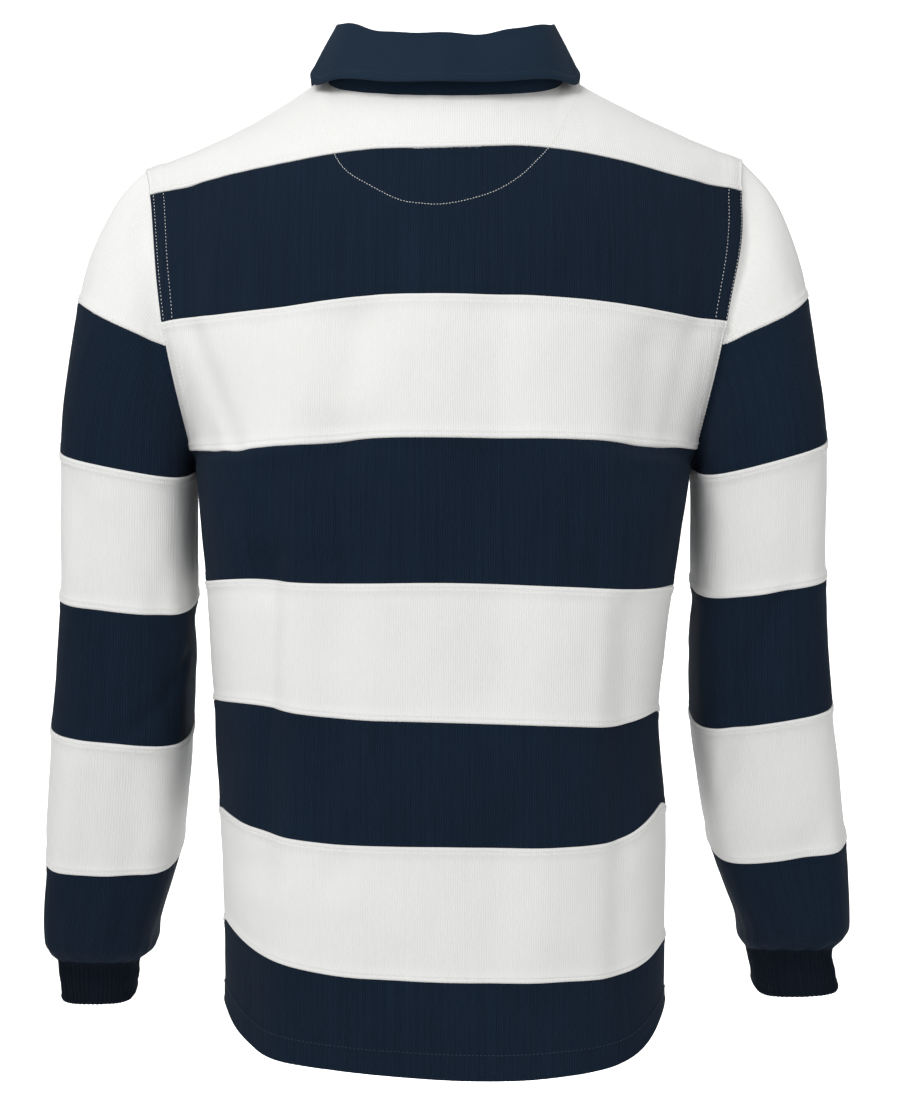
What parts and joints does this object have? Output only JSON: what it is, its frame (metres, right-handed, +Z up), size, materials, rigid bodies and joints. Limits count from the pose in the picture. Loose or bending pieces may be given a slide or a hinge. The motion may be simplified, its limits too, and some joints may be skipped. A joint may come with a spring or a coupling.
{
  "type": "rugby shirt",
  "caption": "Long-sleeved rugby shirt in wide navy and white stripes, with a navy twill collar, a buttoned placket and rib cuffs, in its worn form.",
  "frame": {"origin": "midway between the neck ends of the two shoulder seams, where the wearer's shoulders carry the shirt", "axes": "+Z up, +X towards the shirt's left sleeve, +Y towards its back; its front faces -Y"},
  "size_m": [0.6675, 0.267, 0.8059],
  "materials": {
    "white_jersey": "matte",
    "navy_jersey": "matte",
    "navy_twill": "matte",
    "navy_rib": "matte",
    "white_rubber": "satin"
  },
  "bodies": {
    "root": {"back_1_white": "white_jersey", "back_2_navy": "navy_jersey", "back_3_white": "white_jersey", "back_4_navy": "navy_jersey", "back_5_white": "white_jersey", "back_6_navy": "navy_jersey", "back_7_white": "white_jersey", "back_8_navy": "navy_jersey", "front_1_white_left": "white_jersey", "front_1_white_right": "white_jersey", "front_2_navy_left": "navy_jersey", "front_2_navy_right": "navy_jersey", "front_3_white": "white_jersey", "front_4_navy": "navy_jersey", "front_5_white": "white_jersey", "front_6_navy": "navy_jersey", "front_7_white": "white_jersey", "front_8_navy": "navy_jersey", "sleeve_left_1_white": "white_jersey", "sleeve_left_2_navy": "navy_jersey", "sleeve_left_3_white": "white_jersey", "sleeve_left_4_navy": "navy_jersey", "sleeve_left_5_white": "white_jersey", "sleeve_left_6_navy": "navy_jersey", "cuff_left": "navy_rib", "sleeve_right_1_white": "white_jersey", "sleeve_right_2_navy": "navy_jersey", "sleeve_right_3_white": "white_jersey", "sleeve_right_4_navy": "navy_jersey", "sleeve_right_5_white": "white_jersey", "sleeve_right_6_navy": "navy_jersey", "cuff_right": "navy_rib", "collar_stand": "navy_twill", "collar_fall": "navy_twill", "placket_outer": "navy_twill", "placket_under": "navy_twill", "button_1": "white_rubber", "button_2": "white_rubber", "button_3": "white_rubber"}
  },
  "joints": []
}
